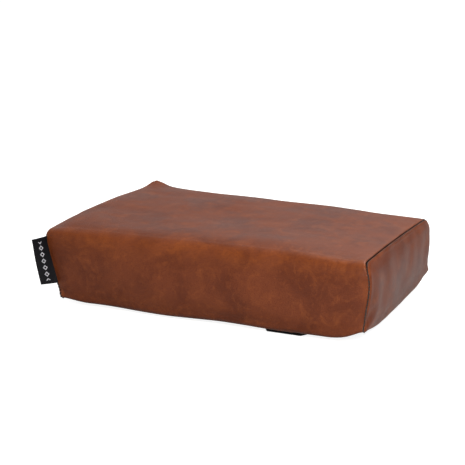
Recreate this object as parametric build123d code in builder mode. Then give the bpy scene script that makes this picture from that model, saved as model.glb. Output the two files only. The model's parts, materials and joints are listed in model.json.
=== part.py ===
"""Padded armrest cushion with a zipped leatherette cover and two hook-and-loop straps.

Frame: origin at the centre of the underside, where the pad meets the arm of the chair.
+X runs along the pad, +Y towards the zipped back, +Z up. The woven label is at -X, -Y.
"""

from build123d import *
import math
import os

os.makedirs("parts", exist_ok=True)

# ---- driving dimensions, in millimetres -------------------------------------------------
length = 300.0
width = 200.0
height = 65.0
skin = 1.2  # leatherette and base fabric
top_edge_radius = 12.0
bottom_edge_radius = 4.0
least_radius = 1.0
clearance = 0.3  # between faces that must not touch
trim_past = 5.0  # how far a cutting outline runs past the skin

hem_width = 10.0  # skin turned in under the pad, measured from its side
seam_gap = 0.6  # room that a sewn seam leaves for its thread

wadding_inset = 2.0
wadding_thickness = 3.0
foam_gap = 0.2
wadding_slot_room = 2.0
core_top = 42.0  # where the comfort foam lies on the firm core

strap_pitch = 150.0  # between the centre lines of the two straps
strap_width = 50.0
strap_web = 1.5
tail_end_radius = 0.74  # just under half the webbing, so that a sliver of flat is left
strap_recess = 0.3
strap_side_room = 0.2
loop_drop = 1.3
loop_front = -88.0
loop_back = 77.5
loop_corner = 2.0
root_front = 78.5
fold_centre_y = 87.0
fold_inner_radius = 0.7
hinge_room = 1.6
tail_fronts = {"left": -78.0, "right": -91.0}  # the left tail lies stowed further back
tip_width = 32.0
tip_length = 14.0
hook_width = 44.0
hook_length = 60.0
hook_setback = 15.0  # from the tip of the tail
hook_thickness = 1.1
hook_corner = 4.0
stitch_width = 0.6
stitch_height = 0.2
stitch_inset = 0.7
box_stitch_front = 79.5
box_stitch_back = 86.0

zip_height = 32.0
zip_slot = 12.0
tape_width = 13.2
tape_thickness = 0.7
chain_gap = 1.6
coil_width = 1.8
coil_height = 1.2
slider_x = 138.0
slider_length = 9.0
slider_width = 8.0
slider_plate = 1.1
slider_clearance = 0.35
slider_rim = 0.9
slider_corner = 2.0
post_width = 0.9
post_length = 1.6
bail_length = 6.2
bail_width = 1.6
bail_inner_height = 1.5
bail_bar = 0.75
bail_leg = 1.0
pull_length = 22.0
pull_width = 6.0
pull_thickness = 0.9
pull_pin_radius = 0.5
pull_eye_length = 4.5
pull_eye_width = 2.8
pull_hole_radius = 1.0
pull_pin_length = 5.0

label_height = 42.0
label_middle_height = 38.0
label_root_x = -150.3
label_tilt = 12.8  # the seam leans out towards the top
label_length = 13.3
label_thickness = 0.8
label_turn = 22.0  # from the plane of the end panel
label_root_gap = 0.8

# ---- sizes that follow ------------------------------------------------------------------
half_length = length / 2
half_width = width / 2
end_plate_start = half_length - skin
panel_half = end_plate_start - seam_gap
hem_edge = half_width - hem_width
foam_inset = wadding_inset + wadding_thickness + foam_gap
foam_half = end_plate_start - clearance
wadding_half = panel_half - foam_gap

fold_outer_radius = fold_inner_radius + strap_web
fold_centre_z = strap_recess - fold_outer_radius
tail_bottom = fold_centre_z - fold_outer_radius
tail_top = tail_bottom + strap_web
hinge_y = fold_centre_y - hinge_room
loop_bottom = -loop_drop
root_bottom = strap_recess - strap_web

slot_low = zip_height - zip_slot / 2
slot_high = zip_height + zip_slot / 2
back_face = half_width
tape_outer = back_face - skin
tape_inner = tape_outer - tape_thickness
coil_outer = tape_outer + coil_height
plate_outer_face = coil_outer + slider_clearance
plate_inner_face = tape_inner - slider_clearance
bail_base = plate_outer_face + slider_plate
pull_axis_y = bail_base + bail_inner_height / 2


def save(piece, name):
    """Label a finished piece and write its STEP file."""
    piece.label = name
    export_step(piece, "parts/" + name + ".step")


def pad_outline(inset):
    """Cross section of the pad (across its width, and up), set in from the outer skin."""
    with BuildSketch() as outline:
        with Locations((0, inset)):
            Rectangle(width - 2 * inset, height - 2 * inset, align=(Align.CENTER, Align.MIN))
        top_corners = outline.vertices().group_by(Axis.Y)[-1]
        fillet(top_corners, max(top_edge_radius - inset, least_radius))
        bottom_corners = outline.vertices().group_by(Axis.Y)[0]
        fillet(bottom_corners, max(bottom_edge_radius - inset, least_radius))
    return outline.sketch


def box_between(low, high, mode=Mode.ADD):
    """Block between two opposite corners, in the part being built."""
    size = [high[axis] - low[axis] for axis in range(3)]
    with Locations(low):
        Box(*size, align=(Align.MIN, Align.MIN, Align.MIN), mode=mode)


def area_between(low, high, mode=Mode.ADD):
    """Rectangle between two opposite corners, in the sketch being built."""
    with Locations(low):
        Rectangle(high[0] - low[0], high[1] - low[1], align=(Align.MIN, Align.MIN), mode=mode)


skin_outer = pad_outline(0)
skin_inner = pad_outline(skin)

# ---- leatherette cover ------------------------------------------------------------------
# The main panel runs in one piece from the hem under the front, up and over the top, and
# down the back to the zip. The strip below the zip and the two end panels are cut apart.
with BuildPart() as main_panel:
    with BuildSketch(Plane.YZ.offset(-panel_half)):
        add(skin_outer)
        add(skin_inner, mode=Mode.SUBTRACT)
        area_between((-hem_edge, -trim_past), (half_width + trim_past, skin), mode=Mode.SUBTRACT)
        area_between((hem_edge, -trim_past), (half_width + trim_past, slot_high), mode=Mode.SUBTRACT)
    extrude(amount=2 * panel_half)
save(main_panel.part, "main_panel")

with BuildPart() as back_lower_strip:
    with BuildSketch(Plane.YZ.offset(-panel_half)):
        add(skin_outer)
        add(skin_inner, mode=Mode.SUBTRACT)
        area_between((hem_edge, -trim_past), (half_width + trim_past, slot_low), mode=Mode.INTERSECT)
    extrude(amount=2 * panel_half)
save(back_lower_strip.part, "back_lower_strip")

for side, start in (("left", -half_length), ("right", end_plate_start)):
    with BuildPart() as end_panel:
        with BuildSketch(Plane.YZ.offset(start)):
            add(skin_outer)
        extrude(amount=skin)
    save(end_panel.part, "end_panel_" + side)

# Base fabric between the two hems, with a shallow bed for each strap to be sewn into.
base_half = hem_edge - seam_gap
recess_half = strap_width / 2 + strap_side_room
with BuildPart() as base_panel:
    box_between((-panel_half, -base_half, 0), (panel_half, base_half, skin))
    for strap_x in (-strap_pitch / 2, strap_pitch / 2):
        box_between(
            (strap_x - recess_half, -half_width, -skin),
            (strap_x + recess_half, half_width, strap_recess),
            mode=Mode.SUBTRACT,
        )
save(base_panel.part, "base_panel")

# ---- seam threads -----------------------------------------------------------------------
thread_outer = pad_outline(seam_gap / 2)
thread_inner = pad_outline(seam_gap * 3 / 2)
for side, start in (("left", -end_plate_start), ("right", panel_half)):
    with BuildPart() as end_seam_thread:
        with BuildSketch(Plane.YZ.offset(start)):
            add(thread_outer)
            add(thread_inner, mode=Mode.SUBTRACT)
        extrude(amount=seam_gap)
    save(end_seam_thread.part, "end_seam_thread_" + side)

with BuildPart() as base_seam_thread:
    for edge in (-hem_edge, base_half):
        box_between(
            (-panel_half, edge, seam_gap / 2),
            (panel_half, edge + seam_gap, seam_gap * 3 / 2),
        )
save(base_seam_thread.part, "base_seam_thread")

# ---- filling ----------------------------------------------------------------------------
wadding_outer = pad_outline(wadding_inset)
wadding_inner = pad_outline(wadding_inset + wadding_thickness)
with BuildPart() as wadding_wrap:
    with BuildSketch(Plane.YZ.offset(-wadding_half)):
        add(wadding_outer)
        add(wadding_inner, mode=Mode.SUBTRACT)
        area_between(
            (hem_edge, slot_low - wadding_slot_room),
            (half_width, slot_high + wadding_slot_room),
            mode=Mode.SUBTRACT,
        )
    extrude(amount=2 * wadding_half)
save(wadding_wrap.part, "wadding_wrap")

foam_outline = pad_outline(foam_inset)
for name, low, high in (("foam_core", 0, core_top), ("comfort_foam", core_top, height)):
    with BuildPart() as foam:
        with BuildSketch(Plane.YZ.offset(-foam_half)):
            add(foam_outline)
            area_between((-half_width, low), (half_width, high), mode=Mode.INTERSECT)
        extrude(amount=2 * foam_half)
    save(foam.part, name)

# ---- hook-and-loop straps ---------------------------------------------------------------
# Each strap is sewn down near the back, folds back on itself and lies forward under the
# pad, where its hook patch grips the loop strip. The tail peels off about the fold.
for side, strap_x in (("left", -strap_pitch / 2), ("right", strap_pitch / 2)):
    strap_low = strap_x - strap_width / 2
    strap_high = strap_x + strap_width / 2
    tail_front = tail_fronts[side]
    hook_front = tail_front + hook_setback

    with BuildPart() as strap_loop:
        with BuildSketch(Plane.XY.offset(loop_bottom)) as loop_shape:
            area_between((strap_low, loop_front), (strap_high, loop_back))
            fillet(loop_shape.vertices(), loop_corner)
        extrude(amount=loop_drop + strap_recess)
    save(strap_loop.part, "strap_" + side + "_loop")

    with BuildPart() as strap_root:
        with BuildSketch(Plane.YZ.offset(strap_low)):
            with Locations((fold_centre_y, fold_centre_z)):
                Circle(fold_outer_radius)
                Circle(fold_inner_radius, mode=Mode.SUBTRACT)
            area_between(
                (fold_centre_y - 2 * fold_outer_radius, tail_bottom),
                (fold_centre_y, strap_recess),
                mode=Mode.SUBTRACT,
            )
            area_between((root_front, root_bottom), (fold_centre_y, strap_recess))
        extrude(amount=strap_width)
    save(strap_root.part, "strap_" + side + "_root")

    tip_edge = tip_width / 2
    web_edge = strap_width / 2
    with BuildPart() as strap_tail:
        with BuildSketch(Plane((strap_x, 0, tail_bottom))):
            with BuildLine():
                Polyline(
                    (-web_edge, hinge_y + strap_web / 2),
                    (-web_edge, tail_front + tip_length),
                    (-tip_edge, tail_front),
                    (tip_edge, tail_front),
                    (web_edge, tail_front + tip_length),
                    (web_edge, hinge_y + strap_web / 2),
                    close=True,
                )
            make_face()
        extrude(amount=strap_web)
        hinge_edges = strap_tail.edges().filter_by(Axis.X).group_by(Axis.Y)[-1]
        fillet(hinge_edges, tail_end_radius)
    save(strap_tail.part, "strap_" + side + "_tail")

    with BuildPart() as strap_hook:
        with BuildSketch(Plane((strap_x, 0, tail_top))) as hook_shape:
            area_between((-hook_width / 2, hook_front), (hook_width / 2, hook_front + hook_length))
            fillet(hook_shape.vertices(), hook_corner)
        extrude(amount=hook_thickness)
    save(strap_hook.part, "strap_" + side + "_hook")

    stitch_edge = strap_width / 2 - stitch_inset
    with BuildPart() as strap_stitching:
        for level, front, back in (
            (loop_bottom, loop_front + stitch_inset, loop_back - stitch_inset),
            (root_bottom, box_stitch_front, box_stitch_back),
        ):
            with BuildSketch(Plane((strap_x, 0, level - stitch_height))):
                area_between((-stitch_edge, front), (stitch_edge, back))
                area_between(
                    (stitch_width - stitch_edge, front + stitch_width),
                    (stitch_edge - stitch_width, back - stitch_width),
                    mode=Mode.SUBTRACT,
                )
            extrude(amount=stitch_height)
    save(strap_stitching.part, "strap_" + side + "_stitching")

# ---- zip in the back --------------------------------------------------------------------
for side, sign in (("upper", 1), ("lower", -1)):
    chain_edge = zip_height + sign * chain_gap / 2
    tape_edge = chain_edge + sign * tape_width
    coil_edge = chain_edge + sign * coil_width

    with BuildPart() as zip_tape:
        box_between(
            (-panel_half, tape_inner, min(chain_edge, tape_edge)),
            (panel_half, tape_outer, max(chain_edge, tape_edge)),
        )
    save(zip_tape.part, "zip_tape_" + side)

    with BuildPart() as zip_coil:
        box_between(
            (-panel_half, tape_outer, min(chain_edge, coil_edge)),
            (panel_half, coil_outer, max(chain_edge, coil_edge)),
        )
    save(zip_coil.part, "zip_coil_" + side)

slider_low = zip_height - slider_width / 2
slider_high = zip_height + slider_width / 2
slider_back = slider_x - slider_length / 2
slider_nose = slider_x + slider_length / 2
bail_low = zip_height - bail_width / 2
bail_high = zip_height + bail_width / 2
with BuildPart() as zip_slider:
    for face in (plate_inner_face - slider_plate, plate_outer_face):
        box_between((slider_back, face, slider_low), (slider_nose, face + slider_plate, slider_high))
    fillet(zip_slider.edges().filter_by(Axis.Y), slider_corner)
    # the post between the two chains joins the plates at the nose
    box_between(
        (slider_nose - 2 * post_length, plate_inner_face, zip_height - post_width / 2),
        (slider_nose - post_length, plate_outer_face, zip_height + post_width / 2),
    )
    # rims that keep the chains in, stopping short of the tapes
    rim_reach = slider_length / 2 - slider_corner
    for rim_low in (slider_low, slider_high - slider_rim):
        box_between(
            (slider_x - rim_reach, tape_outer + slider_clearance, rim_low),
            (slider_x + rim_reach, plate_outer_face, rim_low + slider_rim),
        )
    # the bail that holds the pull
    box_between(
        (slider_x - bail_length / 2, bail_base, bail_low),
        (slider_x + bail_length / 2, bail_base + bail_inner_height + bail_bar, bail_high),
    )
    box_between(
        (slider_x - bail_length / 2 + bail_leg, bail_base, bail_low),
        (slider_x + bail_length / 2 - bail_leg, bail_base + bail_inner_height, bail_high),
        mode=Mode.SUBTRACT,
    )
save(zip_slider.part, "zip_slider")

pull_bottom = pull_axis_y - pull_thickness / 2
with BuildPart() as zip_pull:
    with BuildSketch(Plane((slider_x, pull_bottom, zip_height), x_dir=(1, 0, 0), z_dir=(0, 1, 0))):
        area_between((pull_width / 2 - pull_length, -pull_width / 2), (0, pull_width / 2))
        with Locations((pull_width / 2 - pull_length, 0)):
            Circle(pull_width / 2)
            Circle(pull_hole_radius, mode=Mode.SUBTRACT)
        area_between((-pull_eye_length, -pull_eye_width / 2), (0, pull_eye_width / 2), mode=Mode.SUBTRACT)
    extrude(amount=pull_thickness)
    with Locations((slider_x, pull_axis_y, zip_height)):
        Cylinder(pull_pin_radius, pull_pin_length)
save(zip_pull.part, "zip_pull")

# ---- woven label in the front left seam -------------------------------------------------
label_reach = label_length - label_thickness
label_lean = math.radians(label_tilt)
label_plane = Plane(
    origin=(label_root_x, -half_width - label_root_gap, label_middle_height),
    x_dir=(math.cos(label_lean), 0, math.sin(label_lean)),
    z_dir=(-math.sin(label_lean), 0, math.cos(label_lean)),
)
with BuildPart() as label:
    with BuildSketch(label_plane):
        with PolarLocations(label_reach / 2, 1, start_angle=-90 - label_turn):
            SlotCenterToCenter(label_reach, label_thickness)
    extrude(amount=label_height / 2, both=True)
save(label.part, "label")
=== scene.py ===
"""The looks of a padded chair armrest cushion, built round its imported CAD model.

The frame is the CAD's: +X along the pad, +Y towards the zipped back, +Z up. Shapes are
worked out in millimetres, and mesh_object() turns them into metres.
"""

import json
import math

import bmesh
import bpy
import numpy as np
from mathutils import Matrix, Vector


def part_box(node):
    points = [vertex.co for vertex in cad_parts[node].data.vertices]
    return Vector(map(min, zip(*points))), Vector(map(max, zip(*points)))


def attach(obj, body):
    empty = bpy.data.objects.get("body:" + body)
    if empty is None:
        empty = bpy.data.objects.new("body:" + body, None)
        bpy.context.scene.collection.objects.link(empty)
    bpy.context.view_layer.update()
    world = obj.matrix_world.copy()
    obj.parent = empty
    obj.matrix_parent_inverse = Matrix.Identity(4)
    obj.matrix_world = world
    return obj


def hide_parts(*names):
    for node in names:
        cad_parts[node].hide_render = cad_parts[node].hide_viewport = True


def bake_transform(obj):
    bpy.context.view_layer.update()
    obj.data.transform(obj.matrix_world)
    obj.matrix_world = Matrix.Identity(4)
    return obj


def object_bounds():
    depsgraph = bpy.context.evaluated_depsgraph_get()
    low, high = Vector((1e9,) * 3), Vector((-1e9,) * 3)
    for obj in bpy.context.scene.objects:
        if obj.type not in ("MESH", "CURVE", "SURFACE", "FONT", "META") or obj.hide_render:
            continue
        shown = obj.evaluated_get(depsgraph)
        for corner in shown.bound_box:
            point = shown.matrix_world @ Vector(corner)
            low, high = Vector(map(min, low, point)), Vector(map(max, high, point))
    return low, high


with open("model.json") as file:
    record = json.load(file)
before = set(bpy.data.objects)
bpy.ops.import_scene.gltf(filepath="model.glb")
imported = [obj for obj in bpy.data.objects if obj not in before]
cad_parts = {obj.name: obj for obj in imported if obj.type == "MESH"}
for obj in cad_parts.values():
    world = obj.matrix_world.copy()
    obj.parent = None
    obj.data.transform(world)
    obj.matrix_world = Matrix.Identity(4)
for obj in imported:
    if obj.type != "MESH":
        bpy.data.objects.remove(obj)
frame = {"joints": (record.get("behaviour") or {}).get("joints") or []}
cad_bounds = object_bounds()
MM = 0.001
SEED = 7


# ---- sizes, from the frame ----------------------------------------------------------------
def box_mm(node):
    """Lowest and highest corner of a CAD node, in millimetres."""
    return [np.array(corner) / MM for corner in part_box(node)]


def joint_mm(name):
    """A joint's place in millimetres and its axis."""
    joint = next(j for j in frame["joints"] if j["name"] == name)
    return np.array(joint["pos_m"]) / MM, np.array(joint["axis"], float)


HALF_X, HALF_Y, TOP = box_mm("end_panel_right")[1]
HEM_EDGE = HALF_Y - (box_mm("back_lower_strip")[1][1] - box_mm("back_lower_strip")[0][1])
ZIP_Z = (box_mm("zip_coil_upper")[0][2] + box_mm("zip_coil_lower")[1][2]) / 2
SLOT_LOW = box_mm("back_lower_strip")[1][2]
SLOT_HIGH = 2 * ZIP_Z - SLOT_LOW
TOP_RADIUS = 12.0
FOOT_RADIUS = 4.0
SIDE_SEAM = HALF_X - 1.8
TOP_SEAM = HALF_X - 3.2
FACE_X = HALF_X + 0.2
SEAM_PULL = 1.8  # how deep the tight end seams pull the cover in
SHOULDER = 1.2  # how far the top of an end leans back in
STITCH_PITCH = 3.0


# ---- small tools --------------------------------------------------------------------------
def smooth_step(t):
    """0 below 0, 1 above 1, and a soft rise between."""
    t = np.clip(t, 0, 1)
    return t * t * (3 - 2 * t)


def waves(points, size, seed, count=14):
    """Smooth random numbers of about unit spread that change over about size millimetres."""
    random = np.random.default_rng(SEED + seed)
    direction = random.normal(size=(count, 3))
    direction /= np.linalg.norm(direction, axis=1)[:, None]
    stretch = random.uniform(0.6, 1.4, count) * 2 * math.pi / (2 * size)
    phase = random.uniform(0, 2 * math.pi, count)
    total = np.sin(np.asarray(points) @ (direction * stretch[:, None]).T + phase).sum(-1)
    return total / math.sqrt(count / 2)


def xyz(x, y, z):
    """Three coordinates, each an array or a number, as points."""
    return np.stack(np.broadcast_arrays(x, y, z), -1)


def flipped(faces):
    """The same faces, seen from the other side."""
    return [tuple(reversed(face)) for face in faces]


def cubic(values, place, wrap):
    """Rows of values at fractional places, on a smooth curve through them."""
    whole = np.floor(place).astype(int)
    t = (place - whole).reshape((-1,) + (1,) * (values.ndim - 1))
    count = len(values)
    rows = [whole - 1, whole, whole + 1, whole + 2]
    rows = [r % count if wrap else np.clip(r, 0, count - 1) for r in rows]
    a, b, c, d = [values[r] for r in rows]
    return b + t / 2 * (c - a + t * (2 * a - 5 * b + 4 * c - d + t * (3 * (b - c) + d - a)))


def mesh_object(name, points, faces, smooth=True):
    """A mesh object from points in millimetres."""
    mesh = bpy.data.meshes.new(name)
    mesh.from_pydata((np.asarray(points).reshape(-1, 3) * MM).tolist(), [], faces)
    mesh.update()
    if smooth:
        mesh.shade_smooth()
    obj = bpy.data.objects.new(name, mesh)
    bpy.context.scene.collection.objects.link(obj)
    return obj


def grid_faces(rows, columns, wrap=False, start=0):
    """Quads between neighbouring rows of a grid; wrap joins the last column to the first."""
    last = columns if wrap else columns - 1
    faces = []
    for i in range(rows - 1):
        for j in range(last):
            k = (j + 1) % columns
            a, b = start + i * columns, start + (i + 1) * columns
            faces.append((a + j, a + k, b + k, b + j))
    return faces


def point_normals(points, faces):
    """Unit normals of a mesh of quads or triangles, at its points."""
    normals = np.zeros_like(points)
    quads = np.array([f if len(f) == 4 else (*f, f[-1]) for f in faces])
    across = points[quads[:, 2]] - points[quads[:, 0]]
    along = points[quads[:, 3]] - points[quads[:, 1]]
    face_normal = np.cross(across, along)
    for corner in range(4):
        np.add.at(normals, quads[:, corner], face_normal)
    return normals / np.maximum(np.linalg.norm(normals, axis=1), 1e-12)[:, None]


def thicken(points, faces, thickness):
    """A closed skin: the surface, a copy set in along its normals, and walls between them."""
    points = np.asarray(points).reshape(-1, 3)
    count = len(points)
    inner = points - point_normals(points, faces) * thickness
    used = {}
    for face in faces:
        for a, b in zip(face, face[1:] + face[:1]):
            used[(a, b)] = used.get((a, b), 0) + 1
    rim = [(a, b) for a, b in used if (b, a) not in used]
    closed = list(faces)
    closed += [tuple(count + i for i in face) for face in flipped(faces)]
    closed += [(b, a, count + a, count + b) for a, b in rim]
    return np.vstack([points, inner]), closed


def skin_object(name, points, faces, thickness):
    """A mesh object from a surface, thickened to its inside."""
    return mesh_object(name, *thicken(points, faces, thickness))


def flat_grid(low, high, columns, rows):
    """Grids of x and y over a box's plan."""
    return np.meshgrid(np.linspace(low[0], high[0], columns), np.linspace(low[1], high[1], rows))


def add_attribute(obj, name, values):
    """Stores a number or a vector for each point of obj, for its material to read."""
    values = np.asarray(values, np.float32)
    if values.ndim == 1:
        obj.data.attributes.new(name, "FLOAT", "POINT").data.foreach_set("value", values)
    else:
        data = obj.data.attributes.new(name, "FLOAT_VECTOR", "POINT").data
        data.foreach_set("vector", values.ravel())


def place(obj, body, material, nodes=(), slot=None):
    """Finishes a piece: its material, the body it rides on, and the CAD nodes it stands for."""
    obj.data.materials.clear()
    obj.data.materials.append(material)
    if body:
        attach(obj, body)
    if nodes:
        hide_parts(*nodes)
    return obj


def sweep(path, radii, sides, hint):
    """Points and faces of a closed tube along a path, with its sides turned by the hint."""
    path = np.asarray(path, float)
    radii = np.broadcast_to(radii, len(path))
    along = np.gradient(path, axis=0)
    along /= np.linalg.norm(along, axis=1)[:, None]
    side = np.cross(along, hint)
    side /= np.maximum(np.linalg.norm(side, axis=1), 1e-9)[:, None]
    up = np.cross(side, along)
    angle = np.arange(sides) / sides * 2 * math.pi
    angle = angle[None, :, None]
    ring = side[:, None] * np.cos(angle) + up[:, None] * np.sin(angle)
    points = (path[:, None] + ring * radii[:, None, None]).reshape(-1, 3)
    faces = flipped(grid_faces(len(path), sides, wrap=True))
    end = (len(path) - 1) * sides
    faces.append(tuple(range(sides)))
    faces.append(tuple(reversed(range(end, end + sides))))
    return points, faces


def joined(pieces):
    """Several (points, faces) as one."""
    points, faces, count = [], [], 0
    for piece_points, piece_faces in pieces:
        points.append(piece_points)
        faces += [tuple(count + i for i in face) for face in piece_faces]
        count += len(piece_points)
    return np.vstack(points), faces


def stitches(line, outward, length, radius, rise):
    """Thread stitches at the points of line, each along the line and arched a little."""
    line = np.asarray(line, float)
    outward = np.broadcast_to(outward, line.shape)
    along = np.gradient(line, axis=0)
    along /= np.linalg.norm(along, axis=1)[:, None]
    t = np.linspace(-1, 1, 7)
    made = []
    for middle, way, out in zip(line, along, outward):
        lift = rise * (1 - t**2) - 0.9 * radius * np.abs(t) ** 6
        path = middle + way * (t * length / 2)[:, None] + out * lift[:, None]
        radii = radius * (1 - 0.45 * np.abs(t) ** 4)
        made.append(sweep(path, radii, sides=6, hint=out))
    return joined(made)


# ---- the pad's cross section --------------------------------------------------------------
CORNER = 25  # points round each corner


def corner_points(y, z, radius, start, end):
    """Points and normals round one corner of the cross section."""
    angle = np.radians(np.linspace(start, end, CORNER))
    normal = np.stack([np.cos(angle), np.sin(angle)], 1)
    return np.hstack([np.array([y, z]) + radius * normal, normal])


def section_table():
    """The cross section from the middle of the underside, round by the front: y, z and normal."""
    far, high = HALF_Y - TOP_RADIUS, TOP - TOP_RADIUS
    foot = HALF_Y - FOOT_RADIUS
    middle = np.array([[0, 0, 0, -1]])
    return np.vstack([
        middle,
        corner_points(-foot, FOOT_RADIUS, FOOT_RADIUS, 270, 180),
        corner_points(-far, high, TOP_RADIUS, 180, 90),
        corner_points(far, high, TOP_RADIUS, 90, 0),
        corner_points(foot, FOOT_RADIUS, FOOT_RADIUS, 0, -90),
        middle,
    ])


SECTION = section_table()
SECTION_STEPS = np.linalg.norm(np.diff(SECTION[:, :2], axis=0), axis=1)
SECTION_LENGTHS = np.concatenate([[0], np.cumsum(SECTION_STEPS)])
ROUND = SECTION_LENGTHS[-1]
CORNER_MIDDLES = [SECTION_LENGTHS[1 + CORNER * i + CORNER // 2] for i in range(4)]
TOP_FRONT, TOP_BACK = CORNER_MIDDLES[1], CORNER_MIDDLES[2]
BACK_START = SECTION_LENGTHS[3 * CORNER]
S_HEM_FRONT = HEM_EDGE
S_HEM_BACK = ROUND - HEM_EDGE
S_ZIP_HIGH = BACK_START + (TOP - TOP_RADIUS - SLOT_HIGH)
S_ZIP_LOW = BACK_START + (TOP - TOP_RADIUS - SLOT_LOW)


def section(s):
    """y, z and the outward normal of the cross section, at lengths s along it."""
    s = np.mod(s, ROUND)
    y, z, ny, nz = [np.interp(s, SECTION_LENGTHS, SECTION[:, i]) for i in range(4)]
    size = np.hypot(ny, nz)
    return y, z, ny / size, nz / size


def up_the_edge(z):
    """0 below the rounded top edge, and 1 on the flat top."""
    return smooth_step((z - TOP + TOP_RADIUS) / TOP_RADIUS)


def seam_place(s):
    """How far from the middle the end seams lie: inboard on the top, at the corner elsewhere."""
    _, z, _, _ = section(s)
    return SIDE_SEAM + (TOP_SEAM - SIDE_SEAM) * up_the_edge(z)


def seam_gap(s):
    """Half the gap between the two rolled edges of an end seam."""
    _, z, _, _ = section(s)
    return 0.10 + 0.48 * up_the_edge(z)


def seam_sink(s):
    """How deep the tight end seams pull the cover in: most on the front and back, not below."""
    _, z, ny, _ = section(s)
    return SEAM_PULL * smooth_step((z - 1) / 8) * (0.4 + 0.6 * np.abs(ny))


# ---- how the pad settles ------------------------------------------------------------------
LEAN = 9.6
LEFT_TOP_SHIFT, LEFT_TOP_SKEW = -1.6, 5.5
RIGHT_SHIFT, RIGHT_SKEW = -1.0, -1.5
RISE, RISE_ACROSS, RISE_TWIST, RISE_HOLLOW = 1.8, -1.1, -2.6, -1.8
FOOT_START = 0.76
FOOT_LIFTS = {(-1, -1): 2.4, (1, -1): 4.0, (-1, 1): 4.0, (1, 1): 3.4}
FOOT_ROUND, FOOT_ROUND_SIZE = 5.6, (13.0, 28.0)
SEAM_BULGE = 3.8
FOOT_SAG = 1.0
SHARP, SHARP_SIZE = 2.4, 8.0
END_CROWN = 3.2
EAR, EAR_SHIFT, EAR_SIZE = 8.0, 3.6, 18.0


def settle(points):
    """Moves points of a straight pad to where the soft, used one has them."""
    x, y, z = [np.array(points[..., i], float) for i in range(3)]
    u, v, w = x / HALF_X, y / HALF_Y, np.clip(z / TOP, 0, 1)
    left, right = smooth_step((-u - 0.45) / 0.55), smooth_step((u - 0.6) / 0.4)
    free = 1 - smooth_step((y - HALF_Y + 14) / 10) * np.exp(-(((z - ZIP_Z) / 11) ** 4))
    # the left end leans in towards its foot, most of all at the front, and its top is askew
    lean = LEAN * (1 - w) ** 1.5 * smooth_step((-u - 0.62) / 0.38) * (0.72 - 0.28 * v)
    shift = lean + left * w * (LEFT_TOP_SHIFT + LEFT_TOP_SKEW * v) + right * (RIGHT_SHIFT + RIGHT_SKEW * v)
    # the top is higher at the front right and the back left than at the other two corners
    rise = w * (RISE + RISE_ACROSS * v + RISE_TWIST * u * v + RISE_HOLLOW * u * u * v * v)
    # the corners of the foot lift off
    corner = smooth_step((np.abs(u) - FOOT_START) / (1 - FOOT_START)) * (1 - w) ** 1.2
    lift = 0
    for (end, side), height in FOOT_LIFTS.items():
        lift = lift + height * corner * np.clip(end * np.sign(u), 0, 1) * (1 + side * v) / 2
    lift = lift - FOOT_SAG * (1 - w) ** 3 * (1 - smooth_step(np.abs(u + 0.3) / 0.45))
    in_x, in_y = (HALF_X - np.abs(x)) / FOOT_ROUND_SIZE[0], (HALF_Y - np.abs(y)) / FOOT_ROUND_SIZE[1]
    from_foot = in_x**2 + in_y**2
    lift = lift + FOOT_ROUND * np.exp(-from_foot) * (1 - w) ** 2 * smooth_step(u)
    # the filling bellies the front right seam outwards
    to_front = np.clip((1 - v) / 2, 0, 2) ** 1.5
    belly = SEAM_BULGE * smooth_step((u - 0.8) / 0.2) * to_front * np.sin(math.pi * w**1.8)
    # the left end's top crowns, and its back corner stands up as an ear
    crown = END_CROWN * smooth_step((-u - 0.55) / 0.4) * np.clip(1 - v * v, 0, 1) * w**3
    far_x, far_y = (x + HALF_X) / EAR_SIZE, (y - HALF_Y) / EAR_SIZE
    ear = np.exp(-(far_x**2 + far_y**2)) * w**3
    # the front top edge is less rounded towards the left end
    from_edge = ((y + HALF_Y) ** 2 + (z - TOP) ** 2) / SHARP_SIZE**2
    sharp = SHARP * np.exp(-from_edge) * smooth_step((-u - 0.4) / 0.6)
    up = free * (lift + crown + rise) + EAR * ear + sharp
    moved = [shift + belly + EAR_SHIFT * ear, 2 * ear - sharp, up]
    return xyz(x, y, z) + xyz(*moved)


# ---- air pressure swells the cover between its seams --------------------------------------
SWELL_CAP = 6.0  # no point moves further than this
SWELL_FRAMES = 20
SWELL_CLOTH = {
    "quality": 6,
    "mass": 0.3,
    "tension_stiffness": 12,
    "compression_stiffness": 12,
    "shear_stiffness": 5,
    "bending_stiffness": 1.5,
    "use_pressure": True,
    "uniform_pressure_force": 4,
}
LOOP_TALL, LOOP_WIDE = 12, 40
LOOP = 2 * (LOOP_TALL + LOOP_WIDE)
STATIONS = 59


def loop_lengths(tall, wide):
    """Section lengths of a closed loop that has the same number of points on facing sides."""
    stops = CORNER_MIDDLES + [CORNER_MIDDLES[0] + ROUND]
    counts = (tall, wide, tall, wide)
    parts = [np.linspace(stops[i], stops[i + 1], counts[i], endpoint=False) for i in range(4)]
    return np.concatenate(parts)


def cap_loop(s, turn, sign):
    """A loop round the rounded edge of an end; turn is 0 at the seam and 90 degrees at the face."""
    y, z, ny, nz = section(s)
    edge = seam_place(s)
    radius = FACE_X - edge
    inset = seam_sink(s) + radius * (1 - math.cos(turn))
    height = z - nz * inset
    lean_in = SHOULDER * np.exp(-(((TOP - height) / 9) ** 2))
    return xyz(sign * (edge + (radius - lean_in) * math.sin(turn)), y - ny * inset, height)


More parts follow.
